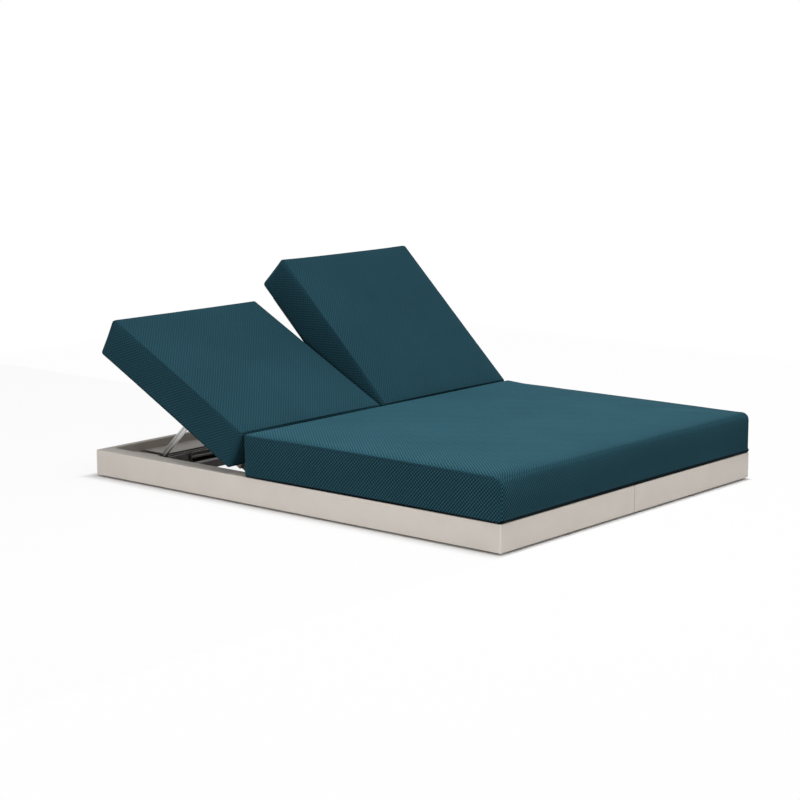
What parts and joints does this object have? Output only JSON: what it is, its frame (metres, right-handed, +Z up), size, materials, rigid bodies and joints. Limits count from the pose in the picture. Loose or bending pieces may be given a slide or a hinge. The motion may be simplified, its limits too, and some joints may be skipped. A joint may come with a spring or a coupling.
{
  "type": "double chaise lounger",
  "caption": "Low double sun lounger: a box-rail platform with a full-width seat cushion and a pair of reclining backs on ratchet legs.",
  "frame": {"origin": "on the floor under the middle of the platform, at the underside of the centre foot", "axes": "+X to the right seat as seen from the foot end, +Y from the foot end to the head end, +Z up"},
  "size_m": [1.614, 2.007, 0.8085],
  "materials": {
    "frame_paint": "satin",
    "shelf_paint": "satin",
    "inner_metal": "satin",
    "back_metal": "satin",
    "bracket_steel": "satin",
    "stay_metal": "satin",
    "pin_steel": "satin",
    "glide_plastic": "matte",
    "fabric": "matte"
  },
  "bodies": {
    "frame": {"side_rail_left": "frame_paint", "side_rail_right": "frame_paint", "foot_rail_left": "frame_paint", "foot_rail_right": "frame_paint", "head_rail_left": "frame_paint", "head_rail_right": "frame_paint", "head_shelf_left": "shelf_paint", "head_shelf_right": "shelf_paint", "hinge_beam": "inner_metal", "centre_beam_foot": "inner_metal", "centre_beam_head": "inner_metal", "rear_crossmembers": "inner_metal", "seat_ledge_left": "inner_metal", "seat_ledge_right": "inner_metal", "corner_brackets": "inner_metal", "splice_sleeves": "inner_metal", "seat_slat_1": "inner_metal", "seat_slat_2": "inner_metal", "seat_slat_3": "inner_metal", "seat_slat_4": "inner_metal", "seat_slat_5": "inner_metal", "seat_slat_6": "inner_metal", "seat_slat_7": "inner_metal", "hinge_bracket_left_outer": "bracket_steel", "hinge_bracket_left_inner": "bracket_steel", "hinge_bracket_right_outer": "bracket_steel", "hinge_bracket_right_inner": "bracket_steel", "rack_rails_left": "bracket_steel", "rack_rails_right": "bracket_steel", "hinge_pins": "pin_steel", "bracket_bolts": "pin_steel", "glides": "glide_plastic", "centre_foot": "glide_plastic", "seat_cushion": "fabric"},
    "left_back": {"back_stile_left_outer": "back_metal", "back_stile_left_inner": "back_metal", "back_rail_left_foot": "back_metal", "back_rail_left_middle": "back_metal", "back_rail_left_head": "back_metal", "back_slats_left": "back_metal", "hinge_arm_left_outer": "bracket_steel", "hinge_arm_left_inner": "bracket_steel", "stay_pins_left": "pin_steel", "back_cushion_left": "fabric"},
    "left_stay": {"stay_leg_left_outer": "stay_metal", "stay_leg_left_inner": "stay_metal", "stay_brace_left": "stay_metal"},
    "right_back": {"back_stile_right_outer": "back_metal", "back_stile_right_inner": "back_metal", "back_rail_right_foot": "back_metal", "back_rail_right_middle": "back_metal", "back_rail_right_head": "back_metal", "back_slats_right": "back_metal", "hinge_arm_right_outer": "bracket_steel", "hinge_arm_right_inner": "bracket_steel", "stay_pins_right": "pin_steel", "back_cushion_right": "fabric"},
    "right_stay": {"stay_leg_right_outer": "stay_metal", "stay_leg_right_inner": "stay_metal", "stay_brace_right": "stay_metal"}
  },
  "joints": [
    {"name": "left_back_hinge", "type": "hinge", "parent": "frame", "child": "left_back", "pos_m": [0, 0.197, 0.242], "axis": [1, 0, 0], "range_deg": [-27.9, 16.4]},
    {"name": "left_stay_pivot", "type": "hinge", "parent": "left_back", "child": "left_stay", "pos_m": [0, 0.6296, 0.2753], "axis": [1, 0, 0], "range_deg": [-42.65, 72.55]},
    {"name": "right_back_hinge", "type": "hinge", "parent": "frame", "child": "right_back", "pos_m": [0, 0.197, 0.242], "axis": [1, 0, 0], "range_deg": [-44.3, 0]},
    {"name": "right_stay_pivot", "type": "hinge", "parent": "right_back", "child": "right_stay", "pos_m": [0, 0.6026, 0.39608], "axis": [1, 0, 0], "range_deg": [0, 115.19]}
  ],
  "couplings": [
    {"joint": "left_stay_pivot", "follows": "left_back_hinge", "ratio": -2.6},
    {"joint": "right_stay_pivot", "follows": "right_back_hinge", "ratio": -2.6}
  ]
}
